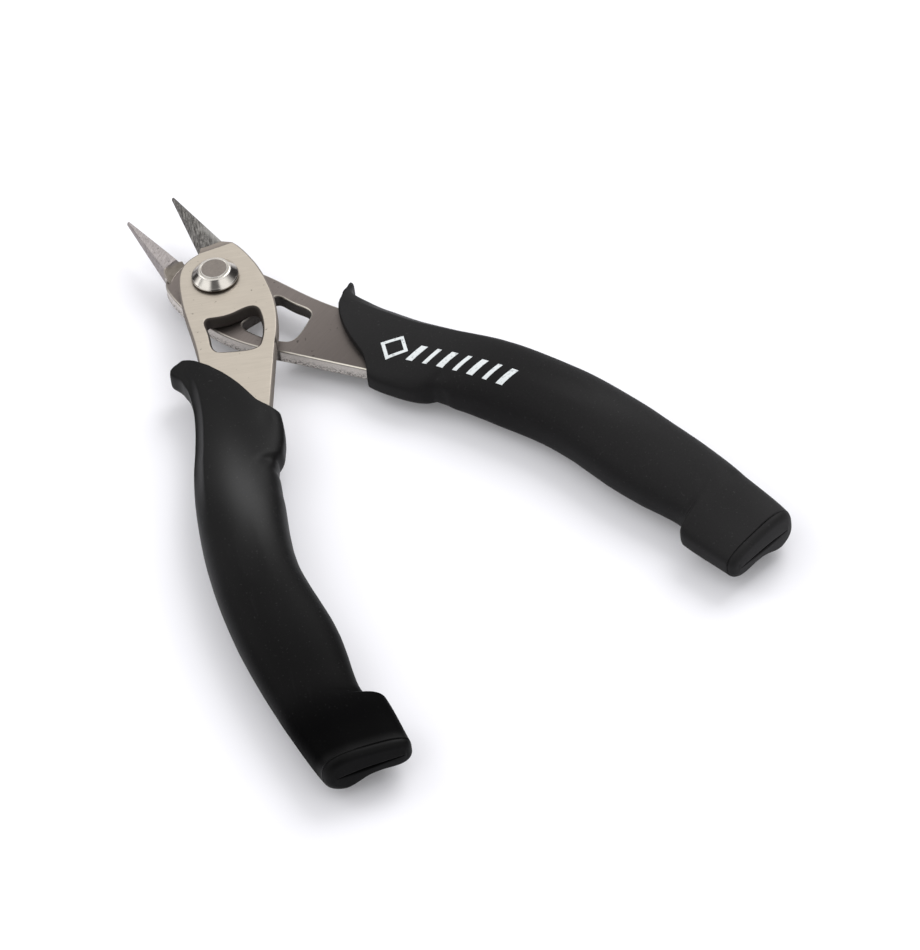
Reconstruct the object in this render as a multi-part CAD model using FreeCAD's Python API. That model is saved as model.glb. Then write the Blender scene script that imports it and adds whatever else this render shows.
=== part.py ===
import FreeCAD, Part
import math
import os

# Sprue nippers: two stamped steel halves crossing at a riveted pivot, slim
# tapered blades, moulded soft grips, return spring concealed in the joint.
#
# Frame: origin on the pivot axis, at the centre of the rivet's flat back end.
# +Z points up along the pivot axis through the front half and the cap washer,
# +Y runs along the tool's centre line towards the blade tips, +X to the right.
# Rest pose: handles open. Lengths are in millimetres.
#
# Each half is drawn in its own closed position (cutting edge along x = 0), with
# z = 0 in the plane where the halves slide on each other. It is then turned
# open by half of the opening angle and lifted by SLIDE_Z.

os.makedirs("parts", exist_ok=True)
Vector = FreeCAD.Vector
ORIGIN = Vector(0, 0, 0)
X_AXIS = Vector(1, 0, 0)
Y_AXIS = Vector(0, 1, 0)
Z_AXIS = Vector(0, 0, 1)

# Driving dimensions -----------------------------------------------------------
PLATE_T = 2.5          # stamped plate thickness
SLIDE_GAP = 0.03       # axial running gap on each side of the front half
OPEN_HALF_DEG = 11.75  # each half's opening from closed

RIVET_R = 2.5          # rivet shank radius
RIVET_CLEAR = 0.04     # radial running clearance in the front half
RIVET_END_R = 2.3      # reduced end of the rivet, peened flat on the cap
RIVET_END_RISE = 0.14  # the end stands this far above the cap washer
RIVET_END_BEVEL = 0.1
CAP_R = 4.0            # cap washer
CAP_H = 1.9
HEAD_R = 3.9           # rivet's factory head on the back
HEAD_H = 1.1

SPRING_R = 4.2         # return spring's mean radius
WIRE_R = 0.45
LEG_LEN = 1.45
REAR_LEG_DEG = 205.0   # spring legs, in each half's closed position
FRONT_LEG_DEG = 360.0 - REAR_LEG_DEG

SLIDE_Z = PLATE_T + HEAD_H      # sliding plane's height over the rivet's back end
FRONT_TOP = SLIDE_GAP + PLATE_T  # top of the front half
CAP_Z = FRONT_TOP + SLIDE_GAP    # underside of the cap washer
CAP_TOP = CAP_Z + CAP_H


# Shape helpers ------------------------------------------------------------------
def spline(points):
    curve = Part.BSplineCurve()
    curve.interpolate([Vector(x, y, 0) for x, y in points])
    return curve.toShape()


def line(start, end):
    return Part.makeLine(Vector(*start, 0), Vector(*end, 0))


def slab(edges, z_low, height):
    face = Part.Face(Part.Wire(edges))
    return face.extrude(Vector(0, 0, height)).translated(Vector(0, 0, z_low))


def cylinder(radius, z_low, z_high, x=0.0, y=0.0):
    return Part.makeCylinder(radius, z_high - z_low, Vector(x, y, z_low))


def polar(radius, degrees):
    angle = math.radians(degrees)
    return radius * math.cos(angle), radius * math.sin(angle)


def polygon(points):
    """Closed wire through the points."""
    vectors = [Vector(*point) for point in points]
    return Part.makePolygon(vectors + [vectors[0]])


def profile(start, *steps):
    """Closed wire of (radius, z) points; a step is (end,) for a line, (middle, end) for an arc."""
    edges = []
    here = start
    for step in steps + ((start,),):
        points = [Vector(radius, 0, z) for radius, z in (here,) + step]
        if len(points) == 2:
            edges.append(Part.makeLine(*points))
        else:
            edges.append(Part.Arc(*points).toShape())
        here = step[-1]
    return Part.Wire(edges)


def revolve(wire):
    return Part.Face(wire).revolve(ORIGIN, Z_AXIS, 360)


def rotated_z(shape, degrees):
    return shape.rotated(ORIGIN, Z_AXIS, degrees)


def flipped(shape):
    """The shape turned over about the centre line."""
    return shape.rotated(ORIGIN, Y_AXIS, 180)


def is_flat(edge):
    return edge.BoundBox.ZLength < 1e-6


def rounded(shape, radius, edges, chamfer_ratio):
    # The fillet can fail on splined edges; a chamfer then takes its place.
    try:
        return shape.makeFillet(radius, edges)
    except Exception:
        return shape.makeChamfer(radius * chamfer_ratio, edges)


def one_solid(shape):
    """The largest solid, with its split faces merged."""
    return max(shape.removeSplitter().Solids, key=lambda solid: solid.Volume)


# Stamped plate --------------------------------------------------------------------
EDGE_R = 0.35          # rounding of the stamped edges
LONG_EDGE = 40         # only the outer and inner edges are longer than this
WINDOW_R = 0.38        # rounding of the window's mouth
OVERCUT = 1.0          # through cuts pass the plate by this much

GROOVE_HALF_WIDTH = 0.8  # pocket either side of the spring's mean radius
GROOVE_D = 0.6
GROOVE_OVERCUT = 0.5
LEG_HOLE_R = 0.5
LEG_HOLE_EXTRA = 0.15  # hole depth beyond the leg's end

TANG_END_Y = -99.0

# Plan outlines in the closed frame, (x, y).
# Outer edge of the stamping: head, then down the outside of the handle.
OUTER = [
    (-0.55, 6.75), (-2.0, 6.3), (-3.4, 5.62), (-4.55, 4.55), (-5.4, 3.2),
    (-6.1, 1.5), (-6.65, -0.4), (-7.15, -2.6), (-7.6, -5.1), (-7.95, -7.9),
    (-8.25, -10.6), (-8.65, -13.6), (-9.15, -16.4), (-10.0, -20.0),
    (-11.2, -25.0), (-13.0, -33.0), (-16.0, -44.0), (-18.4, -54.0),
    (-19.9, -66.0), (-20.3, -80.0), (-19.6, TANG_END_Y),
]
# Inner edge of the stamping, from the tang's end up to the blade root.
INNER = [
    (-13.9, TANG_END_Y), (-13.6, -80.0), (-13.2, -66.0), (-11.4, -54.0),
    (-7.8, -45.0), (-4.4, -38.0), (-2.3, -33.2), (-0.25, -28.4),
    (1.6, -24.1), (3.2, -20.4), (4.7, -17.2), (5.85, -14.3), (6.75, -11.2),
    (7.2, -8.8), (7.42, -6.4), (7.5, -4.0), (7.45, -1.9), (7.3, 0.0),
    (6.98, 2.0), (6.55, 4.0), (5.98, 5.8), (5.45, 6.9), (4.85, 7.65),
    (4.0, 8.4),
]
# Across the blade root, under the blade.
ROOT = [(4.0, 8.4), (2.6, 8.35), (1.3, 8.3), (0.28, 8.45)]

# Window through each half: top, right, low and left sides.
WINDOW = [
    [(-4.55, -8.95), (-3.0, -9.42), (-1.4, -9.68), (0.2, -9.6), (1.9, -9.35), (3.0, -9.45)],
    [(3.0, -9.45), (3.62, -10.1), (3.72, -11.4), (3.3, -13.8), (2.45, -16.2), (1.5, -17.9)],
    [(1.5, -17.9), (0.75, -18.6), (-0.6, -18.7), (-2.8, -18.05), (-4.6, -17.35),
     (-5.6, -16.85)],
    [(-5.6, -16.85), (-5.95, -16.3), (-5.75, -13.5), (-5.4, -10.6), (-5.15, -9.4),
     (-4.55, -8.95)],
]
# Bounds that hold the window's edges and no others.
WINDOW_X = (-6.2, 4.2)
WINDOW_Y = (-19.0, -8.5)


def on_window_mouth(edge):
    box = edge.BoundBox
    return (is_flat(edge) and box.XMin > WINDOW_X[0] and box.XMax < WINDOW_X[1]
            and box.YMin > WINDOW_Y[0] and box.YMax < WINDOW_Y[1])


def stamping(hole_r, leg_deg):
    """One stamped plate: head, window, tang; closed frame, front handedness."""
    outline = [spline(OUTER), line(OUTER[-1], INNER[0]), spline(INNER),
               spline(ROOT), line(ROOT[-1], OUTER[0])]
    plate = slab(outline, SLIDE_GAP, PLATE_T)
    # the blade root and the tang's end stay square
    rims = [edge for edge in plate.Edges if is_flat(edge) and edge.Length > LONG_EDGE]
    plate = rounded(plate, EDGE_R, rims, chamfer_ratio=0.8)

    window = slab([spline(side) for side in WINDOW], SLIDE_GAP - OVERCUT, PLATE_T + 2 * OVERCUT)
    plate = plate.cut(window)
    mouth = [edge for edge in plate.Edges if on_window_mouth(edge)]
    plate = rounded(plate, WINDOW_R, mouth, chamfer_ratio=0.7)
    plate = plate.cut(cylinder(hole_r, SLIDE_GAP - OVERCUT, FRONT_TOP + OVERCUT))

    # half of the annular pocket that hides the return spring, and its leg hole
    groove_z = (SLIDE_GAP - GROOVE_OVERCUT, SLIDE_GAP + GROOVE_D)
    groove = cylinder(SPRING_R + GROOVE_HALF_WIDTH, *groove_z)
    groove = groove.cut(cylinder(SPRING_R - GROOVE_HALF_WIDTH, *groove_z))
    leg_hole = cylinder(LEG_HOLE_R, SLIDE_GAP, SLIDE_GAP + LEG_LEN + LEG_HOLE_EXTRA,
                        *polar(SPRING_R, leg_deg))
    return plate.cut(groove).cut(leg_hole)


# Blades ---------------------------------------------------------------------------
EDGE_GAP = 0.02        # each cutting edge stops this far from the centre line
BLADE_ROOT_Y = 6.9     # blade loft starts inside the head
FRONT_TIP_Y = 22.6
REAR_TIP_Y = 22.2
REAR_TRIM_DEG = 1.6    # the rear blade sits this much nearer the centre line
JAW_CLEAR_R = 8.15     # blade block clears the other half's round head
JAW_CLEAR_Z = -4.0     # below the blade block
BLADE_TOP_ROOT = 1.72  # ground top face at the root, below the plate top

# Sections at the root and tip: cutting edge height, facet's width and top,
# outer wall's x, top face at the wall, foot of the wall, underside.
ROOT_SECTION = dict(edge_z=-1.05, facet=1.0, facet_z=1.45, width=4.65,
                    spine_z=BLADE_TOP_ROOT, wall_z=-1.9, low_z=-PLATE_T)
TIP_SECTION = dict(edge_z=1.15, facet=0.10, facet_z=1.55, width=0.58,
                   spine_z=1.64, wall_z=1.02, low_z=0.86)
SPINE_BEVEL = (0.22, 0.3)    # x and z of the bevel on the spine
LOW_BEVEL = 0.35             # x of the bevel under the wall
EDGE_BACK = (0.12, 0.28)     # x and z from the cutting edge to the corner below it

# Concave ramp on the front plate, a cylinder along X.
RAMP_R = 3.9
RAMP_Y = 8.75
RAMP_DEPTH = 0.66      # lowest point of the ramp below the plate's top
RAMP_X = -1.5
RAMP_LEN = 9.0

# Block at the rear blade's root, plan outline (x, y).
REAR_BLOCK = [(-0.06, BLADE_ROOT_Y), (-0.06, 8.75), (-1.5, 9.15), (-3.4, 9.0),
              (-3.6, BLADE_ROOT_Y)]
# Concave ramp around the front half's head: arc points (radius, z), then its top.
REAR_RAMP_MIDDLE = (8.95, 0.95)
REAR_RAMP_END = (9.85, 2.6)
REAR_RAMP_TOP = 3.5


def blade_section(y, edge_z, facet, facet_z, width, spine_z, wall_z, low_z):
    """Closed section in the plane y = const, cutting edge at x = EDGE_GAP."""
    corners = [(EDGE_GAP, edge_z), (EDGE_GAP + facet, facet_z),
               (width - SPINE_BEVEL[0], spine_z), (width, spine_z - SPINE_BEVEL[1]),
               (width, wall_z), (width - LOW_BEVEL, low_z),
               (EDGE_GAP + EDGE_BACK[0], edge_z - EDGE_BACK[1])]
    return polygon([(x, y, z) for x, z in corners])


def blade(tip_y):
    """Blade of the front half in the closed frame, spanning both layers."""
    root = blade_section(BLADE_ROOT_Y, **ROOT_SECTION)
    tip = blade_section(tip_y, **TIP_SECTION)
    return Part.makeLoft([root, tip], True, True)


def front_half_closed():
    plate = stamping(RIVET_R + RIVET_CLEAR, FRONT_LEG_DEG)
    # the lower block starts outside the rear half's head
    jaw = blade(FRONT_TIP_Y).cut(cylinder(JAW_CLEAR_R, JAW_CLEAR_Z, SLIDE_GAP))
    # a concave ramp leads from the plate's top down to the blade's face
    axis_start = Vector(RAMP_X, RAMP_Y, FRONT_TOP - RAMP_DEPTH + RAMP_R)
    ramp = Part.makeCylinder(RAMP_R, RAMP_LEN, axis_start, X_AXIS)
    ramp = ramp.common(Part.makeBox(12, RAMP_Y, 12, Vector(-3, 0, 0)))
    return one_solid(plate.cut(ramp).fuse(jaw))


def rear_half_closed():
    plate = flipped(stamping(RIVET_R, 180.0 - REAR_LEG_DEG))
    plate.translate(Vector(0, 0, SLIDE_GAP))     # top face on z = 0
    jaw = blade(REAR_TIP_Y).mirror(ORIGIN, X_AXIS)
    # the block at the blade's root keeps its full width up to the ramp
    block = Part.Face(polygon([(x, y, 0) for x, y in REAR_BLOCK]))
    jaw = jaw.fuse(block.extrude(Vector(0, 0, BLADE_TOP_ROOT)))
    # the block over the rear plate ends in a concave ramp around the front head
    ramp = revolve(profile((JAW_CLEAR_R, 0), (REAR_RAMP_MIDDLE, REAR_RAMP_END),
                           ((REAR_RAMP_END[0], REAR_RAMP_TOP),), ((0, REAR_RAMP_TOP),),
                           ((0, 0),)))
    jaw = jaw.cut(ramp)
    jaw.rotate(ORIGIN, Z_AXIS, -REAR_TRIM_DEG)
    return one_solid(plate.fuse(jaw))


# Pivot ----------------------------------------------------------------------------
def rivet():
    shank = revolve(polygon([(0, 0, -PLATE_T), (0, 0, CAP_Z),
                             (RIVET_R, 0, CAP_Z), (RIVET_R, 0, -PLATE_T)]))
    end_top = CAP_TOP + RIVET_END_RISE
    end = revolve(polygon([(0, 0, CAP_Z), (RIVET_END_R, 0, CAP_Z), (RIVET_END_R, 0, CAP_TOP),
                           (RIVET_END_R - RIVET_END_BEVEL, 0, end_top), (0, 0, end_top)]))
    # short straight rim, then a dome down to the flat back
    back_z = -PLATE_T - HEAD_H
    head = revolve(profile((0, -PLATE_T), ((HEAD_R, -PLATE_T),), ((HEAD_R, -PLATE_T - 0.25),),
                           ((HEAD_R * 0.84, -PLATE_T - 0.8), (HEAD_R * 0.62, back_z)),
                           ((0, back_z),)))
    return one_solid(shank.fuse(end).fuse(head))


def cap_washer():
    """Turned washer: undercut rim, conical flank, narrow flat ring round the rivet's end."""
    return revolve(profile(
        (RIVET_END_R, CAP_Z),
        ((CAP_R - 0.35, CAP_Z),), ((CAP_R, CAP_Z + 0.3),), ((CAP_R, CAP_Z + 0.42),),
        ((3.93, CAP_Z + 0.62), (3.76, CAP_Z + 0.8)),      # rounded shoulder
        ((2.84, CAP_TOP - 0.2),),                         # conical flank
        ((2.74, CAP_TOP - 0.06), (2.6, CAP_TOP)),
        ((2.4, CAP_TOP),), ((RIVET_END_R, CAP_TOP - 0.08),)))


def return_spring():
    """Open ring of round wire; one leg down into the rear half, one up into the front."""
    front_deg = FRONT_LEG_DEG - OPEN_HALF_DEG
    rear_deg = REAR_LEG_DEG + OPEN_HALF_DEG
    span = 360.0 - (rear_deg - front_deg)
    path = Part.Wire([Part.makeCircle(SPRING_R, ORIGIN, Z_AXIS, 0, span)])
    wire_section = Part.Wire([Part.makeCircle(WIRE_R, Vector(SPRING_R, 0, 0), Y_AXIS)])
    ring = path.makePipeShell([wire_section], True, False)
    ring.rotate(ORIGIN, Z_AXIS, rear_deg)
    rear_x, rear_y = polar(SPRING_R, rear_deg)
    front_x, front_y = polar(SPRING_R, front_deg)
    spring = ring.fuse(cylinder(WIRE_R, -LEG_LEN, 0, rear_x, rear_y))
    spring = spring.fuse(cylinder(WIRE_R, 0, LEG_LEN, front_x, front_y))
    # balls round the bends between ring and legs
    for x, y in ((rear_x, rear_y), (front_x, front_y)):
        spring = spring.fuse(Part.makeSphere(WIRE_R, Vector(x, y, 0)))
    return one_solid(spring)


# Grips ----------------------------------------------------------------------------
# Sections in planes y = const of the closed frame, front half's side:
# y, outer x, inner x, half thickness, squareness, inner thinning, centre z
BODY = [
    (-13.0, -13.2, -0.6, 2.75, 3.9, 0.00, 1.20), (-17.0, -13.3, -0.6, 2.80, 3.9, 0.00, 1.20),
    (-21.0, -13.5, -0.7, 2.88, 3.8, 0.00, 1.18), (-25.0, -14.0, -0.8, 3.00, 3.6, 0.00, 1.10),
    (-29.0, -14.9, -1.0, 3.15, 3.4, 0.00, 0.95), (-33.0, -15.9, -1.2, 3.35, 3.2, 0.02, 0.80),
    (-37.0, -17.2, -1.65, 3.62, 3.0, 0.04, 0.60), (-41.0, -18.6, -2.5, 4.05, 2.8, 0.06, 0.40),
    (-45.0, -19.95, -4.6, 4.50, 2.6, 0.08, 0.22), (-49.0, -21.15, -6.5, 4.95, 2.5, 0.10, 0.10),
    (-54.0, -22.35, -7.7, 5.40, 2.4, 0.10, 0.03), (-60.0, -23.35, -8.9, 5.70, 2.4, 0.10, 0.00),
    (-66.0, -24.1, -9.6, 5.75, 2.4, 0.10, 0.00), (-73.0, -24.65, -9.5, 5.60, 2.4, 0.10, 0.00),
    (-80.0, -24.95, -9.3, 5.30, 2.45, 0.12, 0.00), (-87.0, -24.9, -9.8, 4.95, 2.5, 0.16, 0.00),
    (-93.0, -24.6, -10.3, 4.65, 2.6, 0.22, 0.00), (-100.5, -23.9, -10.6, 4.45, 2.7, 0.25, 0.00),
]
# The foot round the tang's end, same columns.
FOOT = [
    (-97.7, -23.6, -8.5, 3.9, 3.4, 0.34, 0.0), (-98.4, -23.85, -7.95, 4.25, 3.4, 0.34, 0.0),
    (-99.7, -23.85, -7.7, 4.4, 3.4, 0.34, 0.0), (-103.5, -23.5, -7.6, 4.4, 3.4, 0.36, 0.0),
    (-107.5, -23.0, -7.6, 4.3, 3.4, 0.38, 0.0), (-109.6, -22.65, -7.7, 4.2, 3.3, 0.38, 0.0),
    (-110.7, -22.3, -8.0, 3.85, 3.2, 0.38, 0.0), (-111.4, -21.4, -8.9, 3.0, 3.0, 0.38, 0.0),
]
SECTION_POINTS = 32

# Front edge of the grip over the plate, from outside to inside, (x, y).
FRONT_EDGE = [(-17.5, -18.9), (-13.6, -18.35), (-11.4, -18.25), (-9.5, -19.3), (-7.3, -22.2),
              (-5.6, -25.6), (-4.2, -29.3), (-2.7, -33.2), (-1.3, -35.6), (1.5, -37.2)]
# Finger guard at the outer front corner, plan outline (x, y).
GUARD = [(-9.9, -20.6), (-10.9, -18.3), (-12.1, -17.2), (-13.3, -16.7), (-14.2, -16.8),
         (-14.65, -17.5), (-14.5, -18.8), (-14.1, -20.3), (-13.8, -22.0), (-14.0, -24.5)]
GUARD_LOW, GUARD_HIGH = -2.5, 3.3
GUARD_R = 0.7
GUARD_RIM_Y = -16      # only edges reaching beyond this are rounded

REST_Z = 5.35          # grips are flattened here, where the tool lies on a table
REST_CUT = 4.0         # thickness of the cutting boxes


def grip_section(y, outer_x, inner_x, half_t, squareness, thinning, centre_z):
    """Superellipse, thinned towards its inner side."""
    centre_x, half_width = (outer_x + inner_x) / 2.0, (inner_x - outer_x) / 2.0
    points = []
    for k in range(SECTION_POINTS):
        angle = 2 * math.pi * k / SECTION_POINTS
        cosine, sine = math.cos(angle), math.sin(angle)
        across = math.copysign(abs(cosine) ** (2.0 / squareness), cosine)
        up = math.copysign(abs(sine) ** (2.0 / squareness), sine)
        thinned = 1.0 - thinning * (across + 1.0) / 2.0
        points.append(Vector(centre_x + half_width * across, y,
                             centre_z + half_t * up * thinned))
    curve = Part.BSplineCurve()
    curve.interpolate(Points=points, PeriodicFlag=True)
    return Part.Wire([curve.toShape()])


def finger_guard():
    guard = slab([spline(GUARD), line(GUARD[-1], GUARD[0])], GUARD_LOW, GUARD_HIGH - GUARD_LOW)
    # If no edge reaches GUARD_RIM_Y, or the fillet fails, the guard stays square.
    try:
        guard = guard.makeFillet(GUARD_R, [edge for edge in guard.Edges if is_flat(edge)
                                           and edge.BoundBox.YMax > GUARD_RIM_Y])
    except Exception:
        pass
    return guard


def grip_closed(core):
    """Left grip in the closed frame, hollowed by the steel half it covers."""
    body = Part.makeLoft([grip_section(*row) for row in BODY], True, False)
    foot = Part.makeLoft([grip_section(*row) for row in FOOT], True, False)
    outer, inner = (FRONT_EDGE[0][0], 0), (FRONT_EDGE[-1][0], 0)
    ahead = slab([spline(FRONT_EDGE), line(FRONT_EDGE[-1], inner), line(inner, outer),
                  line(outer, FRONT_EDGE[0])], -10, 20)
    body = body.cut(ahead)
    guard = finger_guard()
    for z in (REST_Z, -REST_Z - REST_CUT):
        body = body.cut(Part.makeBox(60, 140, REST_CUT, Vector(-50, -130, z)))
    solid = one_solid(body.fuse(foot).fuse(guard))
    return one_solid(solid.cut(core))


# Assembly -------------------------------------------------------------------------
front = front_half_closed()
rear = rear_half_closed()
left_grip = grip_closed(front)
# the right grip is the same moulding, turned over about the centre line
right_grip = flipped(grip_closed(flipped(rear)))

NODES = {
    "front_half": rotated_z(front, -OPEN_HALF_DEG),
    "left_grip": rotated_z(left_grip, -OPEN_HALF_DEG),
    "rear_half": rotated_z(rear, OPEN_HALF_DEG),
    "right_grip": rotated_z(right_grip, OPEN_HALF_DEG),
    "pivot_rivet": rivet(),
    "pivot_cap_washer": cap_washer(),
    "return_spring": return_spring(),
}

for name, shape in NODES.items():
    shape.translated(Vector(0, 0, SLIDE_Z)).exportStep("parts/%s.step" % name)
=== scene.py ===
# Two-handled cutting tool with a rivet pivot, a return spring and soft grips, lying open on a table.
# The pivot is on the z axis. Blades point to +y, grips to -y and the table is below.
# Each half is shaped in its own closed frame, in mm, then turned open into the row frame, in m.
# The left grip is at -x. The right grip has the same form, given a half turn about the y axis,
# so its own upper face points to -z. In both own frames the outer side is at lower x.
import bpy, bmesh, math
import numpy as np
from mathutils import Vector, Matrix


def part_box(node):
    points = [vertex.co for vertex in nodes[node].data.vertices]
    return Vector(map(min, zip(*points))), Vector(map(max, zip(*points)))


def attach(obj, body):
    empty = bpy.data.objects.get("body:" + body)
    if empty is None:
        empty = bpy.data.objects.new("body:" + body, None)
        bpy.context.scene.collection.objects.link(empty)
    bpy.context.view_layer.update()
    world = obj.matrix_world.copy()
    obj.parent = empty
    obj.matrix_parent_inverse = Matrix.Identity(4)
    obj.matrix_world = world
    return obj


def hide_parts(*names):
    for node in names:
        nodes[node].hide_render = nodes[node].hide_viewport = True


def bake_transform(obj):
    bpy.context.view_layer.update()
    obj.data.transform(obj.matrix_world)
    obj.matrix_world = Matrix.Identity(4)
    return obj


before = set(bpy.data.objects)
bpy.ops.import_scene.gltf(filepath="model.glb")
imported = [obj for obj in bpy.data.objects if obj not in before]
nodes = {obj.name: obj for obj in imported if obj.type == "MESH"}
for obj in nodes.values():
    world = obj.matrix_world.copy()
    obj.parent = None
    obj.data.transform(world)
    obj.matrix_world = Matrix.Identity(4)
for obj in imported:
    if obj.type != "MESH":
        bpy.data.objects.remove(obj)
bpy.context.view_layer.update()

MM = 0.001
LIFT = 3.6                 # height of the sliding plane in the row frame, mm
OPEN_HALF = 11.75          # each half is turned this far from closed, degrees
TURN = {"left": -OPEN_HALF, "right": OPEN_HALF}
TABLE_SIGN = {"left": -1.0, "right": 1.0}      # own z direction that faces the table


# ---------------------------------------------------------------- helpers
def interpolate(table, at, column=1):
    """Monotone cubic through one column of a table whose first column rises."""
    knots = np.array([row[0] for row in table], float)
    values = np.array([row[column] for row in table], float)
    at = np.asarray(at, float)
    gap = np.diff(knots)
    rise = np.diff(values) / gap
    slope = np.zeros(len(knots))
    for i in range(1, len(knots) - 1):
        if rise[i - 1] * rise[i] > 0:
            before, after = 2 * gap[i] + gap[i - 1], gap[i] + 2 * gap[i - 1]
            slope[i] = (before + after) / (before / rise[i - 1] + after / rise[i])
    slope[0], slope[-1] = rise[0], rise[-1]
    k = np.clip(np.searchsorted(knots, at) - 1, 0, len(knots) - 2)
    t = np.clip((at - knots[k]) / gap[k], 0, 1)
    return ((2 * t**3 - 3 * t**2 + 1) * values[k]
            + (t**3 - 2 * t**2 + t) * gap[k] * slope[k]
            + (-2 * t**3 + 3 * t**2) * values[k + 1]
            + (t**3 - t**2) * gap[k] * slope[k + 1])


def smooth_step(start, end, x):
    """0 at start, 1 at end, eased. Start may be above end."""
    t = np.clip((np.asarray(x, float) - start) / (end - start), 0, 1)
    return t * t * (3 - 2 * t)


def bell(x, centre, width):
    return np.exp(-((x - centre) / width) ** 2)


def turned(points, degrees):
    """Points turned about the z axis."""
    c, s = math.cos(math.radians(degrees)), math.sin(math.radians(degrees))
    x, y, z = np.moveaxis(np.asarray(points, float), -1, 0)
    return np.stack([c * x - s * y, s * x + c * y, z], -1)


def in_row(points):
    """Points in mm from the sliding plane to row frame metres."""
    return (points + np.array([0, 0, LIFT])) * MM


def own_to_row(points, side):
    """Points in a grip's own closed frame to the open row frame."""
    if side == "right":
        points = points * np.array([-1, 1, -1])
    return in_row(turned(points, TURN[side]))


def ring_faces(ring_count, ring_size):
    """Quads joining each closed ring of vertices to the next."""
    faces = []
    for i in range(ring_count - 1):
        a, b = i * ring_size, (i + 1) * ring_size
        for j in range(ring_size):
            j2 = (j + 1) % ring_size
            faces.append((a + j, a + j2, b + j2, b + j))
    return faces


def mesh_object(name, verts, faces):
    """Smooth-shaded object with coincident vertices merged."""
    mesh = bpy.data.meshes.new(name)
    mesh.from_pydata([tuple(v) for v in verts], [], faces)
    mesh.validate()
    ob = bpy.data.objects.new(name, mesh)
    bpy.context.scene.collection.objects.link(ob)
    bm = bmesh.new()
    bm.from_mesh(mesh)
    bmesh.ops.remove_doubles(bm, verts=bm.verts, dist=2e-6)
    bmesh.ops.recalc_face_normals(bm, faces=bm.faces)
    bm.to_mesh(mesh)
    bm.free()
    mesh.polygons.foreach_set("use_smooth", [True] * len(mesh.polygons))
    return ob


# ---------------------------------------------------------------- grip tables, mm
# A station is a y value on the outer side; it runs from the front (-17.7) to the end (-111.4).
Y_FRONT = -17.7            # front, outer side
Y_INNER_FRONT = -35.0      # front, inner side
Y_JOIN = -62.0             # stations lie square across the grip beyond here
Y_END = -111.4
FLAT_HALF = 5.35           # half thickness between the flats it rests on

# station, x of the outer side
OUTER = [
    (-120, -20.3), (-111.4, -22.2), (-108, -22.85), (-104, -23.35), (-100, -23.8),
    (-96, -24.3), (-92, -24.65), (-88, -24.88), (-84, -24.95), (-80, -24.93), (-76, -24.8),
    (-72, -24.6), (-68, -24.3), (-64, -23.88), (-60, -23.36), (-56, -22.72), (-52, -21.9),
    (-48, -20.9), (-44, -19.7), (-40, -18.35), (-36, -16.85), (-32, -15.42), (-28, -14.3),
    (-25, -13.72), (-22, -13.35), (-19, -13.2), (-16, -13.2), (-10, -13.1)]
# y, x of the inner side
INNER = [
    (-120, -7.3), (-111.4, -7.65), (-108, -7.7), (-104, -7.7), (-101.2, -7.75),
    (-100.0, -7.85), (-99.2, -8.3), (-98.6, -9.7), (-97.9, -10.5), (-96, -10.7),
    (-92, -10.4), (-88, -9.95), (-84, -9.5), (-80, -9.3), (-76, -9.4), (-72, -9.6),
    (-68, -9.7), (-64, -9.55), (-60, -9.12), (-56, -8.4), (-52, -7.45), (-48, -6.25),
    (-45, -5.4), (-42, -4.5), (-39, -3.6), (-36, -2.75), (-33, -2.0), (-28, -1.2), (-20, -0.8)]
# station, half thickness, centre z, outer squareness, inner squareness
SECTIONS = [
    (-120, 3.9, 0, 2.7, 3.4), (-111.4, 4.15, 0, 2.7, 3.4), (-104, 4.35, 0, 2.7, 3.4),
    (-99.8, 4.42, 0, 2.65, 3.3), (-97.5, 4.5, 0, 2.55, 2.7), (-93, 4.65, 0, 2.5, 2.5),
    (-87, 4.95, 0, 2.45, 2.45), (-80, 5.25, 0, 2.4, 2.4), (-73, 5.48, 0, 2.35, 2.35),
    (-66, 5.62, 0, 2.35, 2.35), (-60, 5.58, 0, 2.35, 2.35), (-54, 5.32, 0.03, 2.4, 2.4),
    (-49, 4.93, 0.1, 2.45, 2.5), (-45, 4.5, 0.22, 2.5, 2.6), (-41, 4.05, 0.4, 2.55, 2.8),
    (-37, 3.62, 0.6, 2.7, 3.0), (-33, 3.35, 0.8, 2.8, 3.2), (-29, 3.15, 0.95, 2.9, 3.4),
    (-25, 3.0, 1.1, 2.9, 3.6), (-21, 2.88, 1.18, 2.8, 3.8), (-17, 2.8, 1.2, 2.6, 3.9),
    (-10, 2.8, 1.2, 2.6, 3.9)]
HALF_THICKNESS, CENTRE_Z, OUTER_SQUARE, INNER_SQUARE = 1, 2, 3, 4       # columns of SECTIONS
FRONT_Z = interpolate(SECTIONS, [Y_FRONT], CENTRE_Z)[0]
# x, y of the front edge
FRONT = [
    (-14.7, -17.7), (-14.25, -17.0), (-13.35, -16.6), (-12.1, -16.7), (-10.9, -17.4),
    (-9.5, -18.65), (-7.5, -21.2), (-6.05, -23.9), (-4.85, -26.7), (-3.85, -29.8),
    (-2.75, -33.1), (-1.75, -35.0)]
# y, rise of the boss on the inner side
BOSS = {
    "left": [
        (-60, 0), (-44.6, 0), (-43.4, 1.0), (-41.7, 1.35), (-40.5, 1.5), (-39, 1.55),
        (-37, 1.45), (-35, 1.25), (-33.2, 1.0), (-32.2, 0.5), (-31, 0), (-20, 0)],
    "right": [
        (-60, 0), (-45.9, 0), (-44.5, 1.15), (-43.2, 1.6), (-41.5, 1.75), (-39.3, 1.7),
        (-37, 1.55), (-35, 1.25), (-33.0, 0.75), (-31.7, 0.25), (-30.5, 0), (-20, 0)]}
BOSS_END = {"left": -44.0, "right": -45.1}
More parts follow.
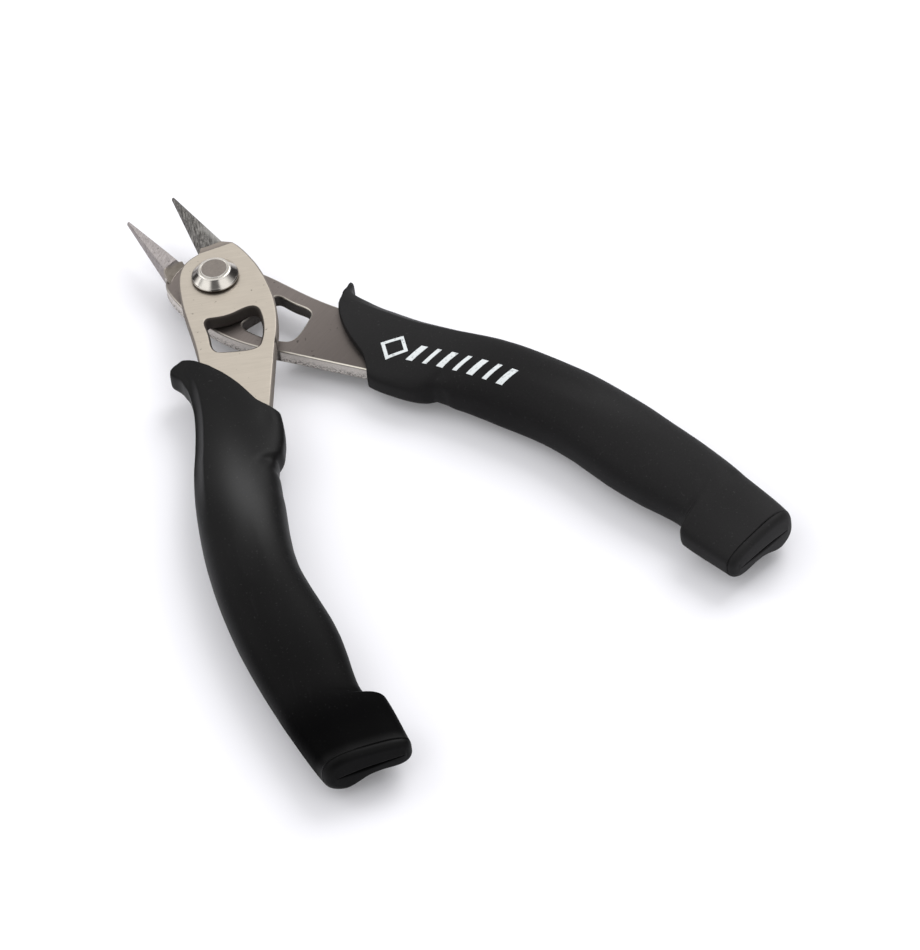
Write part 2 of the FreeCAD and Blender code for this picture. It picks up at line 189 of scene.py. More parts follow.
# station, shift of a side in x: the two mouldings aren't quite alike
OUTER_SHIFT = {
    "left": [
        (-120, 0.10), (-109, 0.08), (-101, 0.0), (-93, 0.15), (-89, 0.13), (-81, -0.05),
        (-77, -0.13), (-69, -0.17), (-61, -0.14), (-53, -0.02), (-45, 0.02), (-41, 0.07),
        (-37, 0.22), (-33, 0.27), (-25, 0.34), (-23, 0.25), (-21, 0.0), (-10, 0.0)],
    "right": [
        (-120, 0.33), (-85, 0.33), (-81, 0.26), (-77, 0.08), (-73, 0.0), (-69, -0.06),
        (-65, -0.10), (-61, 0.0), (-57, 0.08), (-53, 0.30), (-49, 0.52), (-45, 0.53),
        (-41, 0.45), (-37.2, 0.17), (-33.3, -0.07), (-31.4, -0.22), (-29.4, -0.38),
        (-27.5, -0.46), (-25.6, -0.40), (-23.7, -0.22), (-21.8, -0.10), (-10, 0.0)]}
INNER_SHIFT = {
    "left": [
        (-120, 0.10), (-105, 0.12), (-101, 0.08), (-93, 0.05), (-89, 0.13), (-85, 0.05),
        (-81, -0.14), (-77, -0.32), (-73, -0.42), (-69, -0.45), (-65, -0.28), (-61, 0.05),
        (-57, 0.30), (-53.7, 0.42), (-50.5, 0.20), (-47.5, 0.05), (-42, 0.0), (-20, 0.0)],
    "right": [
        (-120, 0.0), (-97, 0.03), (-93, 0.03), (-89, 0.08), (-85, -0.20), (-81, -0.55),
        (-77, -0.86), (-73, -0.98), (-69, -0.82), (-65, -0.56), (-61, -0.22), (-57, 0.02),
        (-53.7, 0.0), (-50.5, -0.10), (-47.5, 0.03), (-42, 0.0), (-20, 0.0)]}


# ---------------------------------------------------------------- grip surface
def plan(stations, across, side):
    """Plan position of places across the grip, -1 outer to 1 inner. Arrays share one shape."""
    span = Y_FRONT - Y_JOIN
    forward = np.clip((stations - Y_JOIN) / span, 0, 1)
    lag = 1 - (Y_INNER_FRONT - Y_JOIN) / span
    y_inner = np.where(stations > Y_JOIN, Y_JOIN + span * (forward - lag * forward**2), stations)
    v = (across + 1) / 2
    # finger guard: the outer side flares out at the very front
    behind = np.clip(Y_FRONT - stations, 0, None)
    flare_spread = 2.0 if side == "right" else 2.7
    x_outer = interpolate(OUTER, stations) - 1.35 * np.exp(-behind ** 1.6 / flare_spread)
    x_inner = interpolate(INNER, y_inner)
    setback = 0.0
    if side == "right":
        # wider flare, fuller waist and a front edge that sits further back
        x_outer = x_outer + 0.30 * smooth_step(-23.5, -19.5, stations)
        x_outer = x_outer - 0.75 * np.exp(-behind ** 2 / 0.60)
        waist = smooth_step(-88, -72, stations) * (1 - smooth_step(-48, -42, stations))
        x_inner = x_inner + 0.38 * waist
        hump = smooth_step(0.0, 0.16, v) * (1 - smooth_step(0.28, 0.46, v))
        setback = 0.95 * (1 - v) ** 1.4 - 1.20 * (1 - v) ** 14 + 0.60 * hump - 0.30 * v
    x_outer = x_outer + interpolate(OUTER_SHIFT[side], stations)
    x_inner = x_inner + interpolate(INNER_SHIFT[side], y_inner)
    # stations bend gradually from a straight line to the shape of the front edge
    x_first, x_last = FRONT[0][0], FRONT[-1][0]
    y_edge = interpolate(FRONT, x_first + (x_last - x_first) * v)
    bend = y_edge - (Y_FRONT + (Y_INNER_FRONT - Y_FRONT) * v)
    x = x_outer + (x_inner - x_outer) * v
    y = stations + (y_inner - stations) * v
    return x, y + forward ** 2.6 * (bend - setback)


def section_shape(stations, angles):
    """Places across and up the section, each in [-1, 1], with the creased outer flank."""
    c, s = np.cos(angles), np.sin(angles)
    crease = smooth_step(-58, -36, stations)
    inner_share = smooth_step(-0.35, 0.35, c)
    outer_square = interpolate(SECTIONS, stations, OUTER_SQUARE) * (1 - crease) + 4.6 * crease
    inner_square = interpolate(SECTIONS, stations, INNER_SQUARE)
    square = outer_square * (1 - inner_share) + inner_square * inner_share
    across = np.sign(c) * np.abs(c) ** (2.0 / square)
    up = np.sign(s) * np.abs(s) ** (2.0 / square)

    # the flank behind the finger guard: a soft crease, then a hollow slope to the outer rim
    crease_at = -0.70 + 0.14 * smooth_step(-21.5, -17.8, stations)
    to_crease = np.clip((1 + across) / (1 + crease_at), 0, 1)
    near_front = smooth_step(-26, -18.5, stations)
    height = np.maximum(np.abs(up), 1e-6)
    crease_height = 0.985
    softness = 9.0

    def capped(rim_height, hollow):
        limit = np.where(across < crease_at,
                         rim_height + (crease_height - rim_height) * to_crease ** hollow,
                         crease_height + 0.3 * (across - crease_at))
        return (height ** -softness + limit ** -softness) ** (-1 / softness)

    above = capped(rim_height=0.32 + 0.36 * near_front, hollow=1.9)
    below = capped(rim_height=0.42 + 0.45 * near_front, hollow=1.2)
    lower = smooth_step(-0.02, 0.02, -up)
    creased = above * (1 - lower) + below * lower
    return across, np.sign(up) * (np.abs(up) * (1 - crease) + creased * crease)


def grip_points(stations, angles, side, inset=0.0):
    """Surface points for stations and section angles of the same shape."""
    across, up = section_shape(stations, angles)
    half_thick = interpolate(SECTIONS, stations, HALF_THICKNESS)
    centre_z = interpolate(SECTIONS, stations, CENTRE_Z)
    x, y = plan(stations, across, side)
    # finger guard sits lower than the rest of the lip
    guard = smooth_step(-27, -18.5, stations) * smooth_step(-0.25, -0.85, across)
    guard = guard * (1.0 if side == "left" else 0.25)
    centre_z = centre_z - 0.85 * guard
    half_thick = half_thick * (1 + 0.06 * guard)
    if inset:
        x_outer, _ = plan(stations, -np.ones_like(stations), side)
        x_inner, _ = plan(stations, np.ones_like(stations), side)
        half, middle = (x_inner - x_outer) / 2, (x_inner + x_outer) / 2
        x = middle + (x - middle) * (half - inset) / half
        half_thick = half_thick - inset
    # the inner side is thinner; on the foot the table side drops in an S curve
    foot = smooth_step(-96.8, -101.0, stations)
    rearward = smooth_step(-60, -90, stations)
    v = (across + 1) / 2
    taper = (0.05 + 0.06 * rearward + 0.22 * foot) * v
    s_curve = 0.10 * rearward * v + foot * (
        0.43 * smooth_step(-0.72, 0.05, across) - 0.22 * smooth_step(0.2, 0.95, across))
    thinning = np.where(up * TABLE_SIGN[side] > 0, np.maximum(s_curve, taper * 0.6), taper)
    z = centre_z + half_thick * up * (1 - thinning)
    # boss on the inner side, at the height of the steel plate inside
    from_plate = np.abs(z - 1.0)
    fade = (1 - 0.65 * smooth_step(1.0, 4.4, from_plate)) * smooth_step(0.15, 0.92, across)
    x = x + interpolate(BOSS[side], y) * fade
    # dimple in the inner side just behind the boss, and two dips in both faces beside it
    boss_end = BOSS_END[side]
    x = x - (0.25 * bell(y, boss_end - 2.6, 1.1) * smooth_step(0.6, 1.0, across)
             * (1 - smooth_step(1.5, 3.5, from_plate)))
    z = z - np.sign(up) * 0.30 * bell(y, boss_end - 0.9, 1.1) * bell(across, 0.74, 0.15)
    z = z - np.sign(up) * 0.16 * bell(y, -35.5, 2.6) * bell(across, 0.74, 0.14)
    # faint waviness of the moulding
    z = z + 0.05 * np.sin(y * 0.31 + 0.7) * np.sin(across * 2.2 + y * 0.11) * up
    # narrow valley where the foot steps out, dying away across the top
    valley = -98.7 + 1.9 * np.clip(0.9 - across, 0, 1.4)
    z = z - (np.sign(up) * 0.20 * bell(y, valley, 0.5) * smooth_step(-0.15, 0.75, across)
             * (np.abs(up) > 0.05))
    return np.stack([x, y, np.clip(z, -FLAT_HALF, FLAT_HALF)], -1)


# ---------------------------------------------------------------- grip mesh
RING_SIZE = 176
LIP_RADIUS = 0.45
END_RADIUS = 1.35
BODY_STOP = -110.0
# stations in front of a y value are this far apart; beyond the table LAST_STEP holds
STEPS = [(-22, 0.20), (-50, 0.28), (-93.5, 0.5), (-100.8, 0.16)]
LAST_STEP = 0.4
SLIT_HALF = 0.34           # half opening of the parting slit in the end face
SLIT_MIN = 0.012
# fraction closed, depth into the slit
SLIT_RINGS = [(0.15, 0.12), (0.45, 0.45), (0.75, 0.62), (1.0, 0.66)]


def thinned(ring, amount):
    """Heights above and below the front's centre, brought towards it by an amount."""
    rel = ring[:, 2] - FRONT_Z
    return np.sign(rel) * np.maximum(np.abs(rel) - amount, 0)


def front_rings(ring_at, angles, side):
    """Front wall from its middle line outwards, then its rounded lip."""
    rings = []
    wall_height = thinned(ring_at(Y_FRONT), LIP_RADIUS)
    c = np.cos(angles)
    across = np.sign(c) * np.abs(c) ** 0.6 * (1 - LIP_RADIUS / 7.0)
    x, y = plan(np.full(RING_SIZE, Y_FRONT), across, side)
    for fraction in (0.0, 0.2, 0.4, 0.6, 0.8, 1.0):
        rings.append(np.stack([x, y, FRONT_Z + wall_height * fraction], 1))
    for k in range(1, 6):
        a = k / 6 * math.pi / 2
        ring = ring_at(Y_FRONT - LIP_RADIUS * (1 - math.cos(a)))
        ring[:, 2] = FRONT_Z + thinned(ring, LIP_RADIUS * (1 - math.sin(a)))
        rings.append(ring)
    return rings


def body_rings(ring_at):
    rings = []
    y = Y_FRONT
    while y > BODY_STOP:
        y -= next((step for limit, step in STEPS if y > limit), LAST_STEP)
        if y <= Y_FRONT - LIP_RADIUS:
            rings.append(ring_at(y))
    return rings


def rounded_end_rings(ring_at):
    y_start = Y_END + END_RADIUS
    rings = [ring_at(y_start)]
    for k in range(1, 9):
        a = k / 8 * math.pi / 2
        rings.append(ring_at(y_start - END_RADIUS * math.sin(a),
                             inset=END_RADIUS * (1 - math.cos(a))))
    return rings


def slit_rings(rim):
    """End face, closing from its rim to the parting slit and into it."""
    rings = []
    x, z = rim[:, 0], rim[:, 2]
    middle, half_width = (x.min() + x.max()) / 2, (x.max() - x.min()) / 2
    across = (x - middle) / half_width
    oval = np.clip(1 - across**2, 0, 1) ** 0.5
    opening = SLIT_HALF * oval * (0.55 + 0.45 * bell(across, -0.15, 0.5)) + SLIT_MIN
    target = np.sign(z) * np.minimum(opening, np.abs(z))
    for k in range(1, 11):
        t = k / 10
        rings.append(np.stack([middle + (x - middle) * (1 - 0.05 * t),
                               rim[:, 1] - 0.12 * math.sin(t * math.pi / 2),
                               z * (1 - t) + target * t], 1))
    edge = rings[-1]
    for closed, depth in SLIT_RINGS:
        rings.append(np.stack([edge[:, 0], edge[:, 1] + depth * oval,
                               edge[:, 2] * (1 - closed)], 1))
    return rings


def build_grip(side, body):
    angles = np.linspace(0, 2 * np.pi, RING_SIZE, endpoint=False)
    # spread samples evenly round a rounded-rectangle section
    angles = angles + 0.16 * np.sin(4 * angles)

    def ring_at(y, inset=0.0):
        return grip_points(np.full(RING_SIZE, y), angles, side, inset)

    rings = front_rings(ring_at, angles, side) + body_rings(ring_at) + rounded_end_rings(ring_at)
    rings += slit_rings(rings[-1])
    ob = mesh_object(f"{side}_grip_moulding", own_to_row(np.concatenate(rings), side),
                     ring_faces(len(rings), RING_SIZE))
    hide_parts(f"{side}_grip")
    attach(ob, body)
    return ob


left = build_grip("left", "front_lever")
right = build_grip("right", "rear_lever")


# ---------------------------------------------------------------- return spring
COIL_RADIUS = 4.2
WIRE_RADIUS = 0.45
LEG = 1.40                 # reach of each leg from the coil's plane
BEND_RADIUS = 0.42
REAR_LEG_ANGLE = 205.0     # degrees round the pivot, closed
FRONT_LEG_ANGLE = 155.0
ARC_STEPS = 150
WIRE_SIDES = 20


def spring_path():
    """Wire centre: a leg down, an arc round the pivot, and a leg up."""
    rear = math.radians(REAR_LEG_ANGLE + OPEN_HALF)
    front = math.radians(FRONT_LEG_ANGLE - OPEN_HALF) + 2 * math.pi
    bend = BEND_RADIUS / COIL_RADIUS
    # angle in from the leg, distance from the coil's plane: leg tip first, then the bend
    leg = [(0.0, LEG - (LEG - BEND_RADIUS) * k / 5) for k in range(6)]
    for k in range(1, 8):
        t = k / 8 * math.pi / 2
        leg.append((bend * (1 - math.cos(t)), BEND_RADIUS * (1 - math.sin(t))))
    path = [(rear + turn, -reach) for turn, reach in leg]
    for k in range(ARC_STEPS + 1):
        path.append((rear + bend + (front - rear - 2 * bend) * k / ARC_STEPS, 0.0))
    path += [(front - turn, reach) for turn, reach in reversed(leg)]
    return np.array([(COIL_RADIUS * math.cos(a), COIL_RADIUS * math.sin(a), z) for a, z in path])


def spring_wire():
    path = spring_path()
    tangents = np.gradient(path, axis=0)
    tangents /= np.linalg.norm(tangents, axis=1)[:, None]
    verts = []
    for point, tangent in zip(path, tangents):
        radial = np.array([point[0], point[1], 0.0])
        radial /= np.linalg.norm(radial)
        sideways = np.cross(tangent, radial)
        sideways /= np.linalg.norm(sideways)
        outward = np.cross(sideways, tangent)
        for j in range(WIRE_SIDES):
            a = 2 * math.pi * j / WIRE_SIDES
            verts.append(point + WIRE_RADIUS * (math.cos(a) * outward + math.sin(a) * sideways))
    faces = ring_faces(len(path), WIRE_SIDES)
    last = (len(path) - 1) * WIRE_SIDES
    faces.append(tuple(range(WIRE_SIDES)))
    faces.append(tuple(last + j for j in reversed(range(WIRE_SIDES))))
    return mesh_object("return_spring_wire", in_row(np.array(verts)), faces)


spring = spring_wire()
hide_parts("return_spring")
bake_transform(spring)


# ---------------------------------------------------------------- print on the right grip, mm
PRINT_GRID = 0.35          # cell size the shapes are cut to, so that they follow the face
PRINT_RAISED = 0.03
PRINT_SUNK = 0.05
# y, x of the line the print follows
PRINT_LINE = [(-60, -13.6), (-52, -11.9), (-45, -10.2), (-38, -8.3), (-33, -7.2)]
PRINT_START_Y, PRINT_END_Y = -33.0, -58.4
DIAMOND_AT = 0.08          # fraction along the line
DIAMOND_OUTER, DIAMOND_INNER = 2.75, 1.91      # centre to corner
BAR_COUNT, BAR_FIRST, BAR_PITCH = 7, 0.25, 0.112       # the last two are fractions of the line
BAR_HALF_LENGTH = 1.75
BAR_SLANT = 0.55
BAR_HALF_WIDTHS = (0.62, 0.42)                 # in turn


def line_frame(fraction):
    """Point on the print's line, its direction and the direction across it."""
    y = PRINT_START_Y + (PRINT_END_Y - PRINT_START_Y) * fraction
    here, ahead = (np.array([float(interpolate(PRINT_LINE, at)), at]) for at in (y, y - 0.1))
    along = (ahead - here) / np.linalg.norm(ahead - here)
    return here, along, np.array([-along[1], along[0]])


def mark_shapes():
    """A plain open diamond and seven slanted bars, drawn along the grip."""
    centre, along, across = line_frame(DIAMOND_AT)
    directions = (along, across, -along, -across)
    outer = [centre + d * DIAMOND_OUTER for d in directions]
    inner = [centre + d * DIAMOND_INNER for d in directions]
    shapes = []
    for i in range(4):
        j = (i + 1) % 4
        shapes.append([outer[i], outer[j], inner[j], inner[i]])
    for k in range(BAR_COUNT):
        centre, along, across = line_frame(BAR_FIRST + k * BAR_PITCH)
        reach = across * BAR_HALF_LENGTH - along * BAR_SLANT
        width = along * BAR_HALF_WIDTHS[k % 2]
        start, end = centre - reach, centre + reach
        shapes.append([start - width, start + width, end + width, end - width])
    return shapes


def cut_to_grid(polygon):
    """A flat bmesh of the polygon, cut along the print grid and triangulated."""
    bm = bmesh.new()
    bm.faces.new([bm.verts.new((p[0], p[1], 0)) for p in polygon])
    low, high = polygon.min(0), polygon.max(0)
    for axis in (0, 1):
        normal = [0, 0, 0]
        normal[axis] = 1
        first, last = math.ceil(low[axis] / PRINT_GRID), math.floor(high[axis] / PRINT_GRID)
        for k in range(first, last + 1):
            bmesh.ops.bisect_plane(bm, geom=bm.verts[:] + bm.edges[:] + bm.faces[:], dist=1e-5,
                                   plane_co=[PRINT_GRID * k * n for n in normal],
                                   plane_no=normal)
    bmesh.ops.triangulate(bm, faces=bm.faces)
    return bm


def upper_face_z(xy):
    """z of the right grip's upper face at plan points, from a dense net of the surface."""
    nearest = 12
    stations, angles = np.meshgrid(np.linspace(-24, -75, 260),
                                   -np.linspace(0.12, math.pi - 0.12, 120), indexing="ij")
    net = grip_points(stations, angles, "right").reshape(-1, 3)
    heights = np.zeros(len(xy))
    for i, (x, y) in enumerate(xy):
        near = np.argsort((net[:, 0] - x) ** 2 + (net[:, 1] - y) ** 2)[:nearest]
        # least squares plane through the nearest net points
        plane = np.stack([np.ones(nearest), net[near, 0] - x, net[near, 1] - y], 1)
        heights[i] = np.linalg.lstsq(plane, net[near, 2], rcond=None)[0][0]
    return heights


def build_print(name, shapes):
    """Plan shapes as one thin closed skin that follows the upper face of the right grip."""
    index, verts, faces = {}, [], []
    for shape in shapes:
        bm = cut_to_grid(np.array(shape, float))
        for face in bm.faces:
            ids = []
            for v in face.verts:
                key = (round(v.co.x, 3), round(v.co.y, 3))
                if key not in index:
                    index[key] = len(verts)
                    verts.append((v.co.x, v.co.y))
                ids.append(index[key])
            if len(set(ids)) == 3:
                faces.append(tuple(ids))
        bm.free()
    xy = np.array(verts)
    z = upper_face_z(xy)
    n = len(xy)
    points = np.concatenate([np.column_stack([xy, z - PRINT_RAISED]),
                             np.column_stack([xy, z + PRINT_SUNK])])
    uses = {}
    for face in faces:
        for i in range(3):
            a, b = face[i], face[(i + 1) % 3]
            uses.setdefault((min(a, b), max(a, b)), []).append((a, b))
    rim = [edges[0] for edges in uses.values() if len(edges) == 1]
    walls = [(b, a, a + n, b + n) for a, b in rim]
    under = [tuple(n + i for i in reversed(face)) for face in faces]
    ob = mesh_object(name, own_to_row(points, "right"), faces + under + walls)
    ob.data.set_sharp_from_angle(angle=math.radians(40))
    return ob


mark = build_print("right_grip_print", mark_shapes())
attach(mark, "rear_lever")


# ---------------------------------------------------------------- shader helpers
def rgba(colour):
    """A grey number or an RGB tuple as RGBA."""
    return (*colour, 1) if isinstance(colour, tuple) else (colour, colour, colour, 1)


def scaled(colour, factor):
    return tuple(c * factor for c in colour)


class Shader:
    """Builds a node tree. Any input value may be a number or another node's output."""

    def __init__(self, tree):
        self.tree = tree
        tree.nodes.clear()

    def node(self, kind, inputs={}, **properties):
        node = self.tree.nodes.new(kind)
        for key, value in properties.items():
            setattr(node, key, value)
        self.fill(node, inputs)
        return node

    def fill(self, node, inputs):
        for key, value in inputs.items():
            if isinstance(value, bpy.types.NodeSocket):
                self.tree.links.new(value, node.inputs[key])
            else:
                node.inputs[key].default_value = value

    def math(self, operation, a, b=0.0):
        return self.node("ShaderNodeMath", {0: a, 1: b, 2: 0.0}, operation=operation).outputs[0]

    def function(self, operation, value):
        return self.node("ShaderNodeMath", {0: value}, operation=operation).outputs[0]

    def add(self, a, b):
        return self.math("ADD", a, b)

    def sub(self, a, b):
        return self.math("SUBTRACT", a, b)

    def mul(self, a, b):
        return self.math("MULTIPLY", a, b)

    def vary(self, base, mask, by):
        """base + mask * by"""
        return self.add(base, self.mul(mask, by))

    def radius(self, x, y):
        return self.math("SQRT", self.add(self.mul(x, x), self.mul(y, y)))

    def coords(self, degrees=0.0, scale=None):
        """Object coordinates in metres, turned about z and then scaled."""
        out = self.node("ShaderNodeTexCoord").outputs["Object"]
        out = self.node("ShaderNodeMapping",
                        {0: out, "Rotation": (0, 0, math.radians(degrees))}).outputs[0]
        if scale:
            out = self.node("ShaderNodeMapping", {0: out, "Scale": scale}).outputs[0]
        return out

    def separate(self, vector):
        return self.node("ShaderNodeSeparateXYZ", {0: vector}).outputs

    def noise(self, vector, scale, detail=3.0, roughness=0.5, distortion=0.0):
        return self.node("ShaderNodeTexNoise", {
            "Vector": vector, "Scale": scale, "Detail": detail,
            "Roughness": roughness, "Distortion": distortion}).outputs["Fac"]

    def ramp(self, value, stops, interpolation="LINEAR"):
        node = self.node("ShaderNodeValToRGB", {0: value})
        ramp = node.color_ramp
        ramp.interpolation = interpolation
        while len(ramp.elements) < len(stops):
            ramp.elements.new(0.5)
        for element, (position, colour) in zip(ramp.elements, stops):
            element.position = position
            element.color = rgba(colour)
        return node.outputs[0]

    def mix(self, amount, a, b):
        a, b = (c if isinstance(c, bpy.types.NodeSocket) else rgba(c) for c in (a, b))
        return self.node("ShaderNodeMix", {0: amount, 6: a, 7: b},
                         data_type="RGBA", blend_type="MIX").outputs[2]

    def tint(self, colour, mask, amount, to):
        """Colour moved towards another by mask * amount."""
        return self.mix(self.mul(mask, amount), colour, to)

    def above(self, value, at, soft):
        """0 below a level, 1 above it, soft edge."""
        return self.node("ShaderNodeMapRange", {0: value, 1: at - soft, 2: at + soft},
                         interpolation_type="SMOOTHSTEP").outputs[0]

    def below(self, value, at, soft):
        return self.sub(1.0, self.above(value, at, soft))

    def band(self, value, low, high, soft):
        """1 between two levels, 0 outside, soft edges."""
        return self.mul(self.above(value, low, soft), self.below(value, high, soft))

    def bump(self, height, strength, distance, normal=None):
        node = self.node("ShaderNodeBump",
                         {"Strength": strength, "Distance": distance, "Height": height})
        if normal is not None:
            self.fill(node, {"Normal": normal})
        return node.outputs[0]


def new_material(name):
    material = bpy.data.materials.new(name)
    material.use_nodes = True
    s = Shader(material.node_tree)
    output = s.node("ShaderNodeOutputMaterial")
    bsdf = s.node("ShaderNodeBsdfPrincipled")
    s.fill(output, {0: bsdf.outputs[0]})
    return material, s, bsdf


# ---------------------------------------------------------------- grip materials
# dark, pale: the two base greys; fine: share of the fine speckle; roughness: its base
# foot_shade: painted shade darkening the foot
# sheen: place along the grip (0 at y -15 mm, 1 at y -115 mm), specular level; a painted sheen,
# brighter at the front
# highlight_spot: centre x and y in metres of a painted highlight spot, and its added specular level
RUBBER = {
    "left": dict(
        dark=0.0030, pale=0.0052, fine=0.35, roughness=0.40, foot_shade=0.75,
        sheen=[(0.00, 0.11), (0.25, 0.11), (0.45, 0.085), (0.60, 0.05), (0.78, 0.025),
               (0.86, 0.006), (0.93, 0.012), (0.958, 0.10), (0.975, 0.02), (1.0, 0.0)],
        highlight_spot=(-0.0133, -0.0503, 0.42)),
    "right": dict(
        dark=0.0065, pale=0.0107, fine=0.65, roughness=0.48, foot_shade=0.0,
        sheen=[(0.00, 0.12), (0.20, 0.09), (0.42, 0.035), (0.62, 0.06), (0.86, 0.075),
               (0.955, 0.10), (0.985, 0.26)],
        highlight_spot=(-0.0185, -0.072, 0.05)),
}


def rubber_sheen(s, x, y, along, style):
    """Specular level as painted sheen along the grip, with a painted highlight spot on the fuller
    part.
    """
    spot_x, spot_y, highlight_spot = style["highlight_spot"]
    level = s.ramp(along, style["sheen"], "EASE")
    spot_line = s.vary(spot_x, s.sub(y, spot_y), by=0.14)      # the spot leans with the grip
    dx = s.math("DIVIDE", s.sub(x, spot_line), 0.0026)
    dy = s.math("DIVIDE", s.sub(y, spot_y), 0.0095)
    distance = s.add(s.mul(dx, dx), s.mul(dy, dy))
    return s.vary(level, s.function("EXPONENT", s.mul(distance, -1.0)), by=highlight_spot)


def rubber(side):
    style = RUBBER[side]
    dark, pale = style["dark"], style["pale"]
    material, s, bsdf = new_material(f"grip_rubber_{side}")
    place = s.coords()
    cloud = s.noise(place, scale=90, detail=4, roughness=0.55)
    fine = s.noise(place, scale=4200, roughness=0.6)
    scratches = s.noise(s.coords(20, (900, 90, 500)), scale=1.0, detail=6, roughness=0.65,
                        distortion=0.6)
    patches = s.noise(place, scale=60, distortion=0.4)
    scuffs = s.mul(s.ramp(scratches, [(0.58, 0), (0.74, 1)]),
                   s.ramp(patches, [(0.45, 0), (0.68, 1)]))
    dust = s.ramp(s.noise(place, scale=2600, detail=1, roughness=0.4), [(0.70, 0), (0.75, 1)])

    x, y, _ = s.separate(s.coords(-TURN[side]))
    if side == "right":
        x = s.mul(x, -1.0)
    along = s.mul(s.add(y, 0.015), -10.0)
    # painted shade: the foot is darkened towards black
    foot = s.above(along, at=0.84, soft=0.06)
    kept = s.sub(1.0, s.mul(foot, style["foot_shade"]))
    colour = s.mix(cloud, (dark, dark * 0.96, dark), (pale, pale * 0.97, pale))
    colour = s.tint(colour, fine, amount=style["fine"], to=(pale * 1.9, pale * 1.85, pale * 1.9))
    colour = s.tint(colour, scuffs, amount=0.25, to=(0.030, 0.029, 0.031))
    colour = s.tint(colour, dust, amount=0.12, to=0.10)
    colour = s.mix(kept, (0.0008, 0.0008, 0.0009), colour)
    roughness = s.vary(style["roughness"], cloud, by=0.12)
    grain = s.bump(fine, strength=0.35, distance=0.00004)
    s.fill(bsdf, {
        "Specular IOR Level": rubber_sheen(s, x, y, along, style),
        "Base Color": colour,
        "Roughness": s.vary(roughness, scuffs, by=0.12),
        "Normal": s.bump(s.noise(place, scale=420), strength=0.12, distance=0.0002,
                         normal=grain)})
    return material


def ink():
    material, s, bsdf = new_material("printed_ink")
    place = s.coords()
    wear = s.noise(place, scale=1500, detail=4, roughness=0.6)
    grain = s.noise(place, scale=5200, detail=2, roughness=0.6)
    s.fill(bsdf, {
        "Base Color": s.ramp(wear, [(0.34, (0.36, 0.38, 0.39)), (0.44, (0.64, 0.67, 0.68))]),
        "Roughness": 0.5,
        "Normal": s.bump(grain, strength=0.15, distance=0.00004)})
    return material


# ---------------------------------------------------------------- steel halves
# turn: degrees back to the closed frame; grain_turn, scratch_turns: added to it
# blade_from: y where the ground blade starts, m; cross: strength of the second scratches
# window_x: x range of the window, m
STEEL = {
    "front": dict(
        turn=OPEN_HALF, light=(0.61, 0.55, 0.475), shade=(0.425, 0.381, 0.322),
        blade_light=(0.30, 0.29, 0.275), blade_dark=(0.070, 0.066, 0.062),
        grain_turn=14, scratch_turns=(-76, 34), blade_from=0.00852, cross=0.55,
        window_x=(-0.0064, 0.0041)),
    "rear": dict(
        turn=-OPEN_HALF, light=(0.245, 0.213, 0.196), shade=(0.152, 0.132, 0.123),
        blade_light=(0.44, 0.405, 0.395), blade_dark=(0.29, 0.265, 0.260),
        grain_turn=-8, scratch_turns=(-30, 15), blade_from=0.0088, cross=0.25,
        window_x=(-0.0041, 0.0064)),
}
WINDOW_Y = (-0.0192, -0.0086)


def plate_colour(s, closed, streak, style):
    """Brushed plate with clouds and dark specks."""
    light, shade = style["light"], style["shade"]
    grain = s.coords(style["turn"] + style["grain_turn"], (120, 2200, 300))
    broad = s.noise(grain, scale=1.0, detail=4, roughness=0.6)
    cloud = s.noise(closed, scale=150, detail=4, roughness=0.55)
    speck = s.ramp(s.noise(closed, scale=1300, detail=2), [(0.26, 1), (0.31, 0)])
    colour = s.mix(streak, shade, light)
    colour = s.tint(colour, s.ramp(broad, [(0.35, 0), (0.75, 1)]), amount=0.30, to=light)
    colour = s.tint(colour, cloud, amount=0.30, to=scaled(shade, 0.82))
    return s.tint(colour, speck, amount=0.7, to=scaled(shade, 0.35))


def rear_walls(s, colour, y, z, facing, style):
    """Painted highlight where the face rolls over; sheared walls pitted, darker towards the grip."""
    upright = s.below(facing, at=0.42, soft=0.25)
    # painted highlight: pale colour where the face rolls over, stronger towards the grip
    rolled_edge_highlight = s.mul(s.band(facing, low=0.60, high=0.945, soft=0.05),
                 s.above(z, at=0.0031, soft=0.0002))
    far = s.above(s.mul(y, -1.0), at=0.020, soft=0.013)
    colour = s.tint(colour, far, amount=0.56, to=scaled(style["shade"], 0.30))
    colour = s.tint(colour, rolled_edge_highlight, amount=s.vary(0.30, far, by=0.6), to=(0.80, 0.76, 0.67))
    pit = s.noise(s.coords(style["turn"], (1, 1, 1.6)), scale=2300, detail=4, roughness=0.7)
    low = s.below(z, at=0.0022, soft=0.0007)
    wall_colour = s.tint((0.70, 0.665, 0.63), s.ramp(pit, [(0.42, 1), (0.56, 0)]),
                         amount=s.vary(0.12, low, by=0.72), to=(0.10, 0.092, 0.082))
    return s.tint(colour, upright, amount=0.92, to=wall_colour), upright


def front_walls(s, colour, facing):
    """Rolled edges and sheared walls are dull and dark."""
    upright = s.below(facing, at=0.960, soft=0.032)
    return s.tint(colour, upright, amount=0.92, to=(0.150, 0.132, 0.120)), upright


